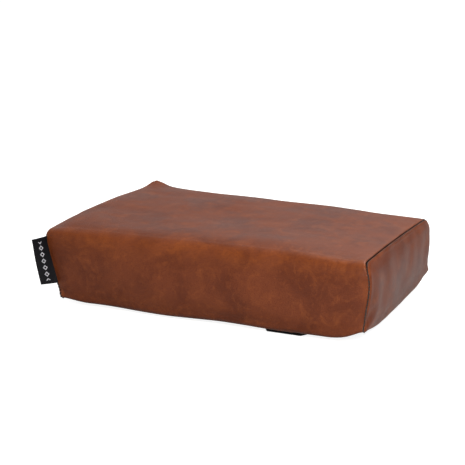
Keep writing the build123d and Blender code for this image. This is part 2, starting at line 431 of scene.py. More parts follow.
def patch(loop, tall, wide):
    """A grid that fills a loop of 2 * (tall + wide) points, rows up and columns front to back."""
    front = loop[: tall + 1]
    top = loop[tall : tall + wide + 1]
    back = loop[tall + wide : 2 * tall + wide + 1][::-1]
    bottom = np.vstack([loop[2 * tall + wide :], loop[:1]])[::-1]
    rise = np.maximum.accumulate(front[:, 2] + back[:, 2])
    v = 0.9 * (rise - rise[0]) / (rise[-1] - rise[0]) + 0.1 * np.linspace(0, 1, tall + 1)
    v = v[:, None, None]
    u = np.linspace(0, 1, wide + 1)[None, :, None]
    blend = (1 - v) * bottom[None] + v * top[None] + (1 - u) * front[:, None] + u * back[:, None]
    corners = (1 - u) * (1 - v) * bottom[0] + u * (1 - v) * bottom[-1]
    corners = corners + (1 - u) * v * top[0] + u * v * top[-1]
    return blend - corners


def patch_index(tall, wide, loop_start, inner_start):
    """Point numbers of a patch whose rim is a loop's points and whose inside comes after."""
    index = np.zeros((tall + 1, wide + 1), int)
    ring = loop_start + np.arange(2 * (tall + wide))
    index[:, 0] = ring[: tall + 1]
    index[-1, :] = ring[tall : tall + wide + 1]
    index[:, -1] = ring[tall + wide : 2 * tall + wide + 1][::-1]
    index[0, 1:] = ring[2 * tall + wide :][::-1]
    index[0, 0] = ring[0]
    index[1:-1, 1:-1] = inner_start + np.arange((tall - 1) * (wide - 1)).reshape(tall - 1, wide - 1)
    return index


def index_faces(index, flip):
    """Quads of a grid of point numbers."""
    a, b, c, d = index[:-1, :-1], index[:-1, 1:], index[1:, 1:], index[1:, :-1]
    quads = [tuple(q) for q in np.stack([a, b, c, d], -1).reshape(-1, 4).tolist()]
    return flipped(quads) if flip else quads


def swelling_skin():
    """A coarse closed skin of the whole pad: points, faces and the numbers of its pinned points."""
    s = loop_lengths(LOOP_TALL, LOOP_WIDE)
    y, z, _, _ = section(s)
    edge = seam_place(s)
    rows = [xyz(edge * t, y, z) for t in np.linspace(-1, 1, STATIONS)]
    faces = flipped(grid_faces(STATIONS, LOOP, wrap=True))
    belt_count = STATIONS * LOOP
    points = [np.vstack(rows)]
    for sign, first in ((-1, 0), (1, belt_count - LOOP)):
        start = sum(len(p) for p in points)
        middle_loop = cap_loop(s, math.radians(50), sign)
        face_loop = cap_loop(s, math.radians(90), sign)
        inside = patch(face_loop, LOOP_TALL, LOOP_WIDE)[1:-1, 1:-1].reshape(-1, 3)
        points += [middle_loop, face_loop, inside]
        ring = np.arange(LOOP)
        for low, high in ((first, start), (start, start + LOOP)):
            quads = [(low + a, low + (a + 1) % LOOP, high + (a + 1) % LOOP, high + a) for a in ring]
            faces += quads if sign < 0 else flipped(quads)
        index = patch_index(LOOP_TALL, LOOP_WIDE, start + LOOP, start + 2 * LOOP)
        faces += index_faces(index, sign < 0)
    points = np.vstack(points)
    flat = np.mod(s + HEM_EDGE + 8, ROUND) < 2 * HEM_EDGE + 16
    zip_edges = (s > S_ZIP_HIGH - 3) & (s < S_ZIP_LOW + 3)
    held = np.tile(flat | zip_edges, STATIONS)
    held[:LOOP] = True
    held[belt_count - LOOP :] = True
    return points, faces, np.flatnonzero(held), s


def swell(points, faces, pinned):
    """How far air pressure moves each point of a closed skin that is held at its pinned points."""
    obj = mesh_object("swelling", points, faces)
    group = obj.vertex_groups.new(name="pinned")
    group.add(pinned.tolist(), 1.0, "REPLACE")
    cloth = obj.modifiers.new("Cloth", "CLOTH")
    for key, value in SWELL_CLOTH.items():
        setattr(cloth.settings, key, value)
    cloth.settings.effector_weights.gravity = 0
    cloth.settings.vertex_group_mass = "pinned"
    cloth.point_cache.frame_start = 1
    cloth.point_cache.frame_end = SWELL_FRAMES
    for number in range(1, SWELL_FRAMES + 1):
        bpy.context.scene.frame_set(number)
    swollen = obj.evaluated_get(bpy.context.evaluated_depsgraph_get())
    moved = np.array([v.co for v in swollen.data.vertices]) / MM - points
    bpy.context.scene.frame_set(1)
    bpy.data.objects.remove(obj)
    size = np.linalg.norm(moved, axis=1)
    capped = SWELL_CAP * np.tanh(size / SWELL_CAP)
    return moved * (capped / np.maximum(size, 1e-9))[:, None]


skin_points, skin_faces, skin_pinned, LOOP_S = swelling_skin()
skin_moved = swell(skin_points, skin_faces, skin_pinned)
BELT_MOVED = skin_moved[: STATIONS * LOOP].reshape(STATIONS, LOOP, 3)
CAP_COUNT = (len(skin_points) - STATIONS * LOOP) // 2


def cap_moved(sign):
    """How far the swelling moves an end's face, as a grid over its patch."""
    start = STATIONS * LOOP + (0 if sign < 0 else CAP_COUNT)
    index = patch_index(LOOP_TALL, LOOP_WIDE, start + LOOP, start + 2 * LOOP)
    return skin_moved[index]


def belt_moved(s, fraction):
    """The swelling of the belt at section lengths s and at fractions -1 to 1 along the pad."""
    order = np.argsort(np.mod(LOOP_S, ROUND))
    known = np.mod(LOOP_S, ROUND)[order]
    places = np.interp(np.mod(s, ROUND), np.append(known, known[0] + ROUND), np.arange(LOOP + 1))
    by_loop = cubic(np.swapaxes(BELT_MOVED[:, order], 0, 1), places, wrap=True)
    stations = (np.asarray(fraction) + 1) / 2 * (STATIONS - 1)
    return np.swapaxes(cubic(np.swapaxes(by_loop, 0, 1), stations, wrap=False), 0, 1)


# ---- rolled edges of the leatherette ------------------------------------------------------
ROLL = 1.0  # radius of the turned-in edge
ALLOWANCE = 2.2  # how far the turned-in edge goes down
COVER_SKIN, CAP_SKIN = 0.6, 0.4  # thickness of the two kinds of panel as drawn
NEAR_SEAM = np.array([1.6, 2.4, 3.4, 4.8, 6.6, 9.0])  # extra columns beside a seam


def rolled(count=5):
    """Distances from a seam and depths below the surface, from flat round to the turned-in edge."""
    angle = np.linspace(0, math.pi / 2, count)
    distance = ROLL * (1 - np.sin(angle))
    depth = ROLL * (1 - np.cos(angle))
    return np.append(distance, 0), np.append(depth, ROLL + ALLOWANCE)


def edged(start, end, step):
    """Places from start to end with rolled edges at both, and the depth at each."""
    distance, depth = rolled()
    inner = np.linspace(start + ROLL, end - ROLL, max(2, round((end - start - 2 * ROLL) / step)))
    places = np.concatenate([(start + distance)[::-1], inner[1:-1], end - distance])
    depths = np.concatenate([depth[::-1], np.zeros(len(inner) - 2), depth])
    return places, depths


def seam_pucker(points, distance, s):
    """Small swells beside a sewn seam: long uneven ones and one between each two stitches."""
    long_swell = waves(points, 9.0, 11) * np.exp(-((distance / 9) ** 2)) * 0.14
    short_swell = np.cos(2 * math.pi * s / STITCH_PITCH) * np.exp(-((distance / 2.2) ** 2)) * 0.10
    return long_swell + short_swell


def unevenness(points):
    """How far a used cover stands proud of or below an even surface."""
    return 0.42 * waves(points, 42, 1) + 0.10 * waves(points, 15, 2)


def painted_seam_shadow(depth, s):
    """How much painted shadow darkens a turned-in edge: more the deeper it lies in the seam, and nearly
    black deep in the open top seam.
    """
    _, z, _, _ = section(s)
    return smooth_step((depth - 0.2) / 0.6) * (0.3 + 0.7 * smooth_step((z - TOP + 4) / 4))


def belt_panel(name, s_start, s_end):
    """One leatherette panel that runs along the pad, between two lengths of the cross section."""
    s, s_depth = edged(s_start, s_end, 1.0)
    distance, roll_depth = rolled()
    near = np.concatenate([distance[::-1], NEAR_SEAM])
    near_depth = np.concatenate([roll_depth[::-1], np.zeros(len(NEAR_SEAM))])
    middle = np.linspace(-1, 1, 92)[1:-1]
    edge = (seam_place(s) - seam_gap(s))[:, None]
    left = -(edge - near[None])
    centre = middle[None] * (edge - NEAR_SEAM[-1] - 2)
    x = np.hstack([left, centre, -left[:, ::-1]])
    x_depth = np.concatenate([near_depth, 0 * middle, near_depth[::-1]])
    depth = np.maximum(s_depth[:, None], x_depth[None])
    y, z, ny, nz = [np.broadcast_to(a[:, None], x.shape) for a in section(s)]
    points = xyz(x, y, z)
    normal = xyz(0, ny, nz)
    fraction = (x / edge).mean(0)
    points = points + belt_moved(s, fraction)
    distance = edge - np.abs(x)
    from_edges = np.minimum(distance, np.minimum(s - s_start, s_end - s)[:, None])
    swell_out = unevenness(points) * smooth_step(from_edges / 12)
    swell_out = swell_out + seam_pucker(points, distance, s[:, None]) * smooth_step(from_edges / 1.5)
    on_side = smooth_step((TOP - 2 - section(s)[1]) / (TOP_RADIUS - 4))
    sink = (seam_sink(s) * on_side)[:, None] * np.exp(-((np.maximum(distance, 0) / 6) ** 1.5))
    points = points + normal * (swell_out - depth - sink)[..., None]
    points = settle(points)
    faces = grid_faces(*x.shape)
    obj = skin_object(name, points, faces, COVER_SKIN)
    cut = xyz(x * MM, s[:, None] * MM, 0).reshape(-1, 3)
    bends = np.exp(-(((s - TOP_FRONT) / 11) ** 2)) + 0.7 * np.exp(-(((s - TOP_BACK) / 11) ** 2))
    worn = np.maximum(bends[:, None], 0.75 * np.exp(-((distance / 3.5) ** 2)))
    add_attribute(obj, "cut", np.vstack([cut, cut]))
    add_attribute(obj, "worn", np.tile(worn.ravel(), 2))
    # painted shadow: the seam attribute darkens the turned-in edges deep in the seam
    add_attribute(obj, "seam", np.tile((painted_seam_shadow(depth, s[:, None]) * (distance < 2)).ravel(), 2))
    return obj


CAP_TALL, CAP_WIDE = 44, 152
CUT_APART = 500.0  # keeps the clouds of the two ends apart


def from_outline(points):
    """How far points of an end's face lie inside the straight outline of that face."""
    height = points[..., 2]
    return np.minimum(HALF_Y - np.abs(points[..., 1]), np.minimum(height, TOP - height))


def cap_panel(name, sign):
    """One leatherette end panel: a rolled edge in the seam, a rounded edge, and the face."""
    s = loop_lengths(CAP_TALL, CAP_WIDE)
    count = len(s)
    y, z, ny, nz = section(s)
    normal = xyz(0, ny, nz)
    edge = seam_place(s) + seam_gap(s)
    distance, depth = rolled()
    rows, from_seam, shade = [], [], []
    swell_grid = cap_moved(sign)
    tall = np.linspace(0, LOOP_TALL, CAP_TALL + 1)
    wide = np.linspace(0, LOOP_WIDE, CAP_WIDE + 1)
    fine = cubic(swell_grid, tall, wrap=False)
    fine = np.swapaxes(cubic(np.swapaxes(fine, 0, 1), wide, wrap=False), 0, 1)
    rim = patch_index(CAP_TALL, CAP_WIDE, 0, count)
    rim_moved = np.zeros((count, 3))
    rim_moved[rim[rim < count]] = fine[rim < count]
    for d, deep in zip(distance[::-1], depth[::-1]):
        line = xyz(sign * (edge + d * 0.5), y, z) - normal * (deep + seam_sink(s))[:, None]
        rows.append(line)
        from_seam.append(np.full(count, d))
        # painted shadow on the turned-in edge, darker the deeper it lies
        shade.append(painted_seam_shadow(deep, s))
    face_loop = cap_loop(s, math.radians(90), sign)
    rim_edge = 2 + from_outline(face_loop)
    for turn in np.radians([18, 34, 50, 64, 78, 90]):
        line = cap_loop(s, turn, sign)
        line[:, 0] = sign * np.maximum(np.abs(line[:, 0]), edge + 0.5 * ROLL + 0.3 * math.sin(turn))
        rows.append(line + rim_moved * math.sin(turn))
        from_seam.append(0.3 + (rim_edge - 0.3) * math.sin(turn))
    inside = (patch(face_loop, CAP_TALL, CAP_WIDE) + fine)[1:-1, 1:-1]
    points = np.vstack(rows + [inside.reshape(-1, 3)])
    from_seam = np.concatenate(from_seam + [from_outline(inside).ravel() + 2])
    row_count = len(rows)
    faces = grid_faces(row_count, count, wrap=True)
    faces = faces if sign < 0 else flipped(faces)
    index = patch_index(CAP_TALL, CAP_WIDE, (row_count - 1) * count, row_count * count)
    faces += index_faces(index, sign < 0)
    outward = point_normals(points, faces)
    along = np.concatenate([np.tile(s, row_count), inside[..., 1].ravel()])
    swell_out = unevenness(points) * smooth_step((from_seam - 2) / 10)
    swell_out = swell_out + seam_pucker(points, from_seam, along) * smooth_step(from_seam / 1.5)
    # soft upright folds hang below the top seam
    fold_depth = np.exp(-(((points[:, 2] - 0.62 * TOP) / 22) ** 2))
    fold_depth = fold_depth * smooth_step((from_seam - 3) / 8)
    swell_out = swell_out + 0.55 * waves(points * [0, 1, 0.15], 16, 21) * fold_depth
    points = settle(points + outward * swell_out[:, None])
    obj = skin_object(name, points, faces, CAP_SKIN)
    cut = xyz(points[:, 1], points[:, 2], CUT_APART * sign) * MM
    worn = np.exp(-((from_seam / 5) ** 2)) * 0.9
    add_attribute(obj, "cut", np.vstack([cut, cut]))
    add_attribute(obj, "worn", np.tile(worn, 2))
    # the painted seam shadow, on the turned-in rows only
    shade = np.concatenate(shade)
    add_attribute(obj, "seam", np.tile(np.append(shade, np.zeros(len(points) - len(shade))), 2))
    return obj


# ---- materials ----------------------------------------------------------------------------
class Nodes:
    """A small helper to write a node tree as calls."""

    def __init__(self, name):
        self.material = bpy.data.materials.new(name)
        self.material.use_nodes = True
        self.tree = self.material.node_tree
        self.shader = self.tree.nodes["Principled BSDF"]

    def feed(self, socket, value):
        """Links a socket to another one, or sets it to a value."""
        if isinstance(value, bpy.types.NodeSocket):
            self.tree.links.new(value, socket)
        else:
            socket.default_value = value

    def node(self, kind, inputs=(), **settings):
        """A node with its settings, and its inputs linked or set, by name or number."""
        made = self.tree.nodes.new("ShaderNode" + kind)
        for key, value in settings.items():
            setattr(made, key, value)
        for key, value in dict(inputs).items():
            self.feed(made.inputs[key], value)
        return made

    def math(self, operation, a, b=0.0):
        """One sum, as a socket."""
        return self.node("Math", {0: a, 1: b}, operation=operation).outputs[0]

    def times(self, a, b):
        """A product, as a socket."""
        return self.math("MULTIPLY", a, b)

    def plus(self, a, b):
        """A sum of two, as a socket."""
        return self.math("ADD", a, b)

    def ribs(self, along, pitch_mm):
        """A sine that repeats every pitch_mm, as a socket."""
        return self.math("SINE", self.times(along, 2 * math.pi / (pitch_mm * MM)))

    def attribute(self, name, output):
        """A mesh attribute, as a socket."""
        return self.node("Attribute", attribute_name=name).outputs[output]

    def axes(self, vector):
        """The three numbers of a vector, as sockets."""
        return self.node("SeparateXYZ", {0: vector}).outputs

    def mix(self, factor, a, b):
        """Two colours mixed, as a socket."""
        made = self.node("Mix", data_type="RGBA")
        for key, value in ((0, factor), (6, a), (7, b)):
            self.feed(made.inputs[key], value)
        return made.outputs[2]

    def remap(self, value, low, high, to_low=0.0, to_high=1.0):
        """A value moved from one range to another, held at its ends."""
        inputs = {0: value, 1: low, 2: high, 3: to_low, 4: to_high}
        return self.node("MapRange", inputs, interpolation_type="SMOOTHSTEP").outputs[0]

    def noise(self, vector, scale, detail=3.0, roughness=0.5, distortion=0.0):
        """A noise texture's value."""
        inputs = {"Vector": vector, "Scale": scale, "Detail": detail}
        inputs |= {"Roughness": roughness, "Distortion": distortion}
        return self.node("TexNoise", inputs).outputs["Fac"]

    def cells(self, vector, scale, feature):
        """A cell texture's distance."""
        inputs = {"Vector": vector, "Scale": scale}
        return self.node("TexVoronoi", inputs, feature=feature).outputs["Distance"]

    def bump(self, height, distance, strength=1.0, normal=None):
        """A bump of so many metres for a height of 1."""
        inputs = {"Height": height, "Distance": distance, "Strength": strength}
        if normal is not None:
            inputs["Normal"] = normal
        return self.node("Bump", inputs).outputs[0]

    def place(self):
        """Where a point is, in the object's own metres."""
        return self.node("TexCoord").outputs["Object"]

    def stretched(self, vector, scale):
        """Coordinates scaled along each axis."""
        return self.node("Mapping", {"Vector": vector, "Scale": scale}).outputs[0]

    def finish(self, colour, roughness, normal=None, **fixed):
        """Links the looks to the shader; fixed numbers are set on its own sockets."""
        for key, value in (("Base Color", colour), ("Roughness", roughness), ("Normal", normal)):
            if value is not None:
                self.feed(self.shader.inputs[key], value)
        for key, value in fixed.items():
            self.shader.inputs[key.replace("_", " ")].default_value = value
        return self.material


def rgb(red, green, blue):
    """A colour from its sRGB parts, 0 to 255, as the linear values that nodes take."""
    linear = [((c / 255 + 0.055) / 1.055) ** 2.4 if c > 10 else c / 255 / 12.92 for c in (red, green, blue)]
    return (*linear, 1.0)


def leather_material():
    """Brown pull-up leatherette: soft clouds, orange where it is stretched, fine pebbled grain with painted
    shade in its creases, and painted shadow deep in the seams.
    """
    n = Nodes("leatherette")
    cut = n.attribute("cut", "Vector")
    worn = n.attribute("worn", "Fac")
    place_ = n.place()
    cloud = n.noise(cut, 24, 4, 0.55, 0.5)
    patch_ = n.noise(cut, 58, 4, 0.6, 1.2)
    streak = n.noise(n.stretched(cut, (1.5, 1.0, 1)), 110, 4, 0.62, 0.7)
    speck = n.noise(cut, 800, 2, 0.5)
    dark, brown, tan = rgb(92, 41, 19), rgb(112, 54, 27), rgb(136, 70, 33)
    colour = n.mix(n.remap(cloud, 0.34, 0.64), dark, brown)
    colour = n.mix(n.times(n.remap(patch_, 0.46, 0.76), 0.6), colour, tan)
    colour = n.mix(n.times(n.remap(streak, 0.52, 0.78), 0.36), colour, rgb(148, 78, 37))
    rubbed = n.times(worn, n.remap(patch_, 0.3, 0.65, 0.35, 1.0))
    colour = n.mix(n.times(rubbed, 0.45), colour, rgb(142, 72, 24))
    colour = n.mix(n.times(n.remap(speck, 0.42, 0.7), 0.3), colour, rgb(84, 38, 20))
    pebble = n.cells(place_, 950.0, "DISTANCE_TO_EDGE")
    crease = n.remap(pebble, 0.0, 0.22)
    fine = n.noise(place_, 2400, 3, 0.6)
    broad = n.noise(place_, 330, 3, 0.55)
    height = n.plus(n.times(crease, 0.6), n.times(fine, 0.35))
    normal = n.bump(broad, 0.00020, 0.35)
    normal = n.bump(height, 0.00012, 0.6, normal)
    # painted shade: the creases between the pebbles of the grain are darkened
    colour = n.mix(n.times(n.math("SUBTRACT", 1.0, crease), 0.35), colour, rgb(66, 28, 14))
    # painted shadow: turned-in edges darken to near black deep in the seams
    colour = n.mix(n.attribute("seam", "Fac"), colour, rgb(22, 10, 6))
    roughness = n.remap(n.plus(cloud, n.times(speck, 0.4)), 0.5, 0.95, 0.38, 0.50)
    roughness = n.math("SUBTRACT", roughness, n.times(rubbed, 0.05))
    return n.finish(colour, roughness, normal, Specular_IOR_Level=0.22)


def weave_material(name, colour, accent, warp_mm, weft_mm, turned=False):
    """Plain woven cloth: crossing ribs of warp and weft, with slubs and a little lint."""
    n = Nodes(name)
    place_ = n.place()
    axes = n.axes(place_)
    across, along = axes[0], axes[1]
    if turned:
        across, along = axes[2], axes[0]
    warp = n.ribs(across, warp_mm)
    weft = n.ribs(along, weft_mm)
    over = n.remap(n.times(warp, weft), -0.9, 0.9)
    slub = n.noise(n.stretched(place_, (1, 6, 1)), 420, 3, 0.6)
    height = n.plus(over, n.times(slub, 0.5))
    mixed = n.mix(n.times(over, 0.6), colour, accent)
    mixed = n.mix(n.times(n.remap(n.noise(place_, 2400, 2), 0.6, 0.8), 0.25), mixed, accent)
    rough = n.remap(slub, 0.2, 0.8, 0.79, 0.91)
    return n.finish(mixed, rough, n.bump(height, 0.12 * MM, 0.8),
                    Sheen_Weight=0.15, Sheen_Roughness=0.5, Specular_IOR_Level=0.3)


def webbing_material():
    """Black polypropylene webbing: rows of slanting ribs that lie along the strap."""
    n = Nodes("webbing")
    place_ = n.place()
    axes = n.axes(place_)
    across, along = axes[0], axes[1]
    column = n.times(across, 1 / (1.9 * MM))
    side = n.math("PINGPONG", column, 1.0)
    herringbone = n.plus(n.times(along, 1 / (1.15 * MM)), n.times(side, 0.9))
    rib = n.math("SINE", n.times(herringbone, 2 * math.pi))
    valley = n.remap(n.math("ABSOLUTE", n.math("SUBTRACT", side, 0.5)), 0.5, 0.3)
    lint = n.noise(place_, 1800, 3, 0.6)
    height = n.plus(n.times(n.plus(rib, 1.0), 0.35), n.times(valley, 0.5))
    colour = n.mix(n.remap(height, 0.1, 1.1), rgb(14, 14, 16), rgb(44, 44, 48))
    colour = n.mix(n.times(n.remap(lint, 0.6, 0.8), 0.3), colour, rgb(84, 84, 90))
    return n.finish(colour, n.remap(lint, 0.3, 0.7, 0.55, 0.72), n.bump(height, 0.00016, 0.9),
                    Sheen_Weight=0.2, Sheen_Roughness=0.4, Specular_IOR_Level=0.4)


def fuzz_material(name, colour, accent):
    """The napped face of loop tape, or wadding: no pattern, only tangled fibres."""
    n = Nodes(name)
    place_ = n.place()
    loops = n.cells(place_, 1500.0, "SMOOTH_F1")
    strands = n.noise(n.stretched(place_, (1, 2.2, 1)), 2100, 4, 0.7, 1.5)
    height = n.plus(loops, strands)
    colour_mix = n.mix(n.remap(height, 0.5, 1.3), colour, accent)
    return n.finish(colour_mix, n.remap(strands, 0.3, 0.7, 0.85, 0.97), n.bump(height, 0.00022, 0.9),
                    Sheen_Weight=0.35, Sheen_Roughness=0.6, Specular_IOR_Level=0.2)


def foam_material(name, colour, cells_per_metre):
    """Open-cell foam: small round pits of uneven size, with painted shade in the pits."""
    n = Nodes(name)
    place_ = n.place()
    pit = n.cells(place_, float(cells_per_metre), "F1")
    tone = n.noise(place_, 30, 4)
    deep = n.remap(pit, 0.15, 0.6)
    # painted shade: the deep parts of the pits are darkened
    shade = n.mix(n.times(deep, 0.35), colour, rgb(150, 136, 96))
    shade = n.mix(n.times(n.remap(tone, 0.4, 0.7), 0.2), shade, rgb(226, 206, 150))
    return n.finish(shade, n.remap(tone, 0.3, 0.7, 0.88, 0.95), n.bump(deep, 0.0004, -0.8))


def thread_material(name, colour, light):
    """Twisted sewing thread: fine slanting plies."""
    n = Nodes(name)
    place_ = n.place()
    axes = n.axes(place_)
    slanted = n.plus(n.plus(axes[0], axes[1]), axes[2])
    ply = n.ribs(slanted, 0.45)
    lint = n.noise(place_, 3000, 3)
    shade = n.mix(n.remap(ply, -1, 1), colour, light)
    return n.finish(shade, n.remap(lint, 0.3, 0.7, 0.5, 0.7), n.bump(ply, 0.00005, 0.7),
                    Sheen_Weight=0.2, Sheen_Roughness=0.4)


def metal_material(name, colour, dull):
    """Plated die-cast metal with soft casting marks and fine scratches."""
    n = Nodes(name)
    place_ = n.place()
    mark = n.noise(place_, 700, 4, 0.6)
    scratch = n.noise(n.stretched(place_, (1, 12, 12)), 300, 4, 0.7)
    shade = n.mix(n.times(n.remap(mark, 0.45, 0.7), 0.6), colour, dull)
    return n.finish(shade, n.remap(scratch, 0.35, 0.7, 0.24, 0.42), n.bump(mark, 0.00003, 0.5), Metallic=1.0)


def nylon_material(name, colour, light):
    """Dyed nylon of a zip coil or a hook: slightly clear, satin."""
    n = Nodes(name)
    place_ = n.place()
    tone = n.noise(place_, 900, 3)
    shade = n.mix(n.remap(tone, 0.4, 0.7), colour, light)
    return n.finish(shade, n.remap(tone, 0.3, 0.7, 0.3, 0.42), n.bump(tone, 0.00003, 0.4),
                    Specular_IOR_Level=0.5)


def label_material():
    """Black damask ribbon with a woven column of small pale diamonds, and no lettering."""
    n = Nodes("woven_label")
    cut = n.attribute("cut", "Vector")
    axes = n.axes(cut)
    reach, height = axes[0], axes[1]
    up = n.math("SUBTRACT", n.math("FRACT", n.times(height, 1 / (6.0 * MM))), 0.5)
    out = n.math("SUBTRACT", n.times(reach, 1 / (6.0 * MM)), 1.1)
    diamond = n.plus(n.math("ABSOLUTE", up), n.math("ABSOLUTE", out))
    ring = n.math("ABSOLUTE", n.math("SUBTRACT", diamond, 0.3))
    shown = n.math("LESS_THAN", ring, 0.085)
    ends = n.math("LESS_THAN", n.math("ABSOLUTE", n.math("SUBTRACT", height, 21 * MM)), 17.8 * MM)
    shown = n.times(shown, ends)
    warp = n.ribs(reach, 0.42)
    weft = n.ribs(height, 0.34)
    weave = n.remap(n.times(warp, weft), -0.9, 0.9)
    base = n.mix(weave, rgb(4, 4, 7), rgb(12, 12, 18))
    pale = n.mix(weave, rgb(150, 150, 158), rgb(214, 214, 220))
    return n.finish(n.mix(shown, base, pale), n.remap(weave, 0, 1, 0.5, 0.66), n.bump(weave, 0.00005, 0.7),
                    Specular_IOR_Level=0.15)


leather = leather_material()
base_cloth = weave_material("base_fabric", rgb(24, 24, 26), rgb(46, 46, 50), 1.1, 1.1)
zip_cloth = weave_material("zip_tape", rgb(70, 40, 26), rgb(98, 60, 40), 0.8, 0.7, turned=True)
webbing = webbing_material()
loop_tape = fuzz_material("loop_tape", rgb(14, 14, 16), rgb(48, 48, 52))
hook_tape = nylon_material("hook_tape", rgb(20, 20, 22), rgb(40, 40, 44))
wadding_fluff = fuzz_material("wadding", rgb(206, 206, 202), rgb(240, 240, 238))
firm_foam = foam_material("firm_foam", rgb(204, 196, 150), 900)
soft_foam = foam_material("soft_foam", rgb(232, 224, 190), 650)
brown_thread = thread_material("seam_thread", rgb(22, 11, 8), rgb(48, 25, 16))
black_thread = thread_material("black_thread", rgb(18, 18, 20), rgb(52, 52, 56))
zip_nylon = nylon_material("zip_coil", rgb(66, 36, 24), rgb(92, 54, 36))
zip_metal = metal_material("zip_metal", rgb(170, 136, 92), rgb(96, 74, 50))
woven_label = label_material()


# ---- cover --------------------------------------------------------------------------------
cover = belt_panel("cover_main", S_HEM_FRONT, S_ZIP_HIGH)
place(cover, "pad", leather, ["main_panel"], "leatherette")
strip = belt_panel("cover_back_strip", S_ZIP_LOW, S_HEM_BACK)
place(strip, "pad", leather, ["back_lower_strip"], "leatherette")
for side, sign in (("left", -1), ("right", 1)):
    cap = cap_panel("cover_end_" + side, sign)
    place(cap, "pad", leather, ["end_panel_" + side], "leatherette")


# ---- filling ------------------------------------------------------------------------------
def filled_shape(name, inset, z_low, z_high):
    """A closed block of filling inside the cover, between two heights."""
    normals = point_normals(skin_points, skin_faces)
    points = skin_points + 0.8 * skin_moved - normals * inset
    obj = mesh_object(name, settle(points), skin_faces)
    shape = bmesh.new()
    shape.from_mesh(obj.data)
    for height, side in ((z_low, -1), (z_high, 1)):
        if not 0 < height < TOP:
            continue
        every = shape.verts[:] + shape.edges[:] + shape.faces[:]
        at, way = Vector((0, 0, height * MM)), Vector((0, 0, side))
        cut = bmesh.ops.bisect_plane(shape, geom=every, plane_co=at, plane_no=way, clear_outer=True)
        rim = [e for e in cut["geom_cut"] if isinstance(e, bmesh.types.BMEdge)]
        bmesh.ops.contextual_create(shape, geom=rim)
    bmesh.ops.recalc_face_normals(shape, faces=shape.faces[:])
    if shape.calc_volume(signed=True) < 0:
        bmesh.ops.reverse_faces(shape, faces=shape.faces[:])
    shape.to_mesh(obj.data)
    shape.free()
    return obj


FOAM_INSET = HALF_Y - box_mm("foam_core")[1][1]
FOAM_JOIN = box_mm("foam_core")[1][2]
firm_block = filled_shape("foam_block_firm", FOAM_INSET, -1, FOAM_JOIN)
place(firm_block, "pad", firm_foam, ["foam_core"], "firm_foam")
soft_block = filled_shape("foam_block_soft", FOAM_INSET, FOAM_JOIN, TOP + 9)
place(soft_block, "pad", soft_foam, ["comfort_foam"], "soft_foam")


WADDING_THICK = 2.0


def wadding_shape():
    """The wadding round the foam, open where the zip lies."""
    low, high = box_mm("wadding_wrap")
    s = np.linspace(S_ZIP_LOW + 2, S_ZIP_HIGH - 2 + ROUND, 150)
    fraction = np.linspace(-1, 1, 60)
    y, z, ny, nz = section(s)
    edge = np.minimum(seam_place(s) - 8.0, high[0])[:, None]
    x = edge * fraction[None]
    y, z, ny, nz = [np.broadcast_to(a[:, None], x.shape) for a in (y, z, ny, nz)]
    points = xyz(x, y, z) + belt_moved(s, fraction)
    depth = HALF_Y - high[1] + 1.3 - 0.3 * waves(points, 9, 31) - np.minimum(unevenness(points), 0)
    points = settle(points - xyz(0, ny, nz) * depth[..., None])
    return skin_object("wadding_layer", points, grid_faces(*x.shape), WADDING_THICK)


wadding = place(wadding_shape(), "pad", wadding_fluff, ["wadding_wrap"], "wadding")


# ---- base fabric and its seams ------------------------------------------------------------
# length, radius and rise of the stitches of each seam
HEM_STITCH = (2.2, 0.26, 0.12)
END_STITCH = (1.9, 0.72, 0.2)
STRAP_STITCH = (2.0, 0.22, 0.1)
ZIP_STITCH = (2.1, 0.27, 0.12)


def base_shape():
    """The black base fabric, flat where it rests, with shallow dents beside its seams."""
    low, high = box_mm("base_panel")
    past = np.array([0.3, 0.4, 0])  # how far the fabric runs under the hems
    grid_x, grid_y = flat_grid(low - past, high + past, 149, 91)
    strap_room = np.ones_like(grid_x)
    for side in ("left", "right"):
        strap_low, strap_high = box_mm("strap_" + side + "_loop")
        middle, half = (strap_low[0] + strap_high[0]) / 2, (strap_high[0] - strap_low[0]) / 2
        strap_room *= smooth_step((np.abs(grid_x - middle) - half) / 6)
    edge = np.minimum(high[0] - np.abs(grid_x), high[1] - np.abs(grid_y))
    level = 0.3 + 0.5 * (1 - strap_room) + 0.7 * np.exp(-np.maximum(edge, 0) / 2)
    level = level + 0.22 * waves(xyz(grid_x, grid_y, 0), 26, 41) * strap_room * smooth_step(edge / 8)
    points = settle(xyz(grid_x, grid_y, np.maximum(level, 0.05)))
    return skin_object("base_cloth", points, flipped(grid_faces(*grid_x.shape)), 0.7)


base = place(base_shape(), "pad", base_cloth, ["base_panel"], "base_fabric")


def base_stitching():
    """A row of stitches along each long hem, on the underside."""
    rows = []
    along_x = np.arange(-SIDE_SEAM + 6, SIDE_SEAM - 5, STITCH_PITCH)
    for y in (-HEM_EDGE - 2.2, HEM_EDGE + 2.2):
        rows.append(stitches(settle(xyz(along_x, y, 0.1)), (0, 0, -1), *HEM_STITCH))
    return mesh_object("base_stitches", *joined(rows))


place(base_stitching(), "pad", brown_thread, ["base_seam_thread"], "thread")


def end_stitching(side, sign):
    """Stitches that cross the upright end seams, and lie deeper across the top."""
    s = np.arange(CORNER_MIDDLES[0] - 2, CORNER_MIDDLES[3] + 2, STITCH_PITCH)
    y, z, ny, nz = section(s)
    edge = seam_place(s)
    deep = 0.05 + 1.3 * up_the_edge(z) + seam_sink(s)
    line = xyz(sign * edge, y - ny * deep, z - nz * deep)
    outward = xyz(0.35 * sign, ny, nz)
    outward /= np.linalg.norm(outward, axis=1)[:, None]
    made = stitches(settle(line), outward, *END_STITCH)
    return mesh_object("end_stitches_" + side, *made)


for side, sign in (("left", -1), ("right", 1)):
    place(end_stitching(side, sign), "pad", brown_thread, ["end_seam_thread_" + side], "thread")


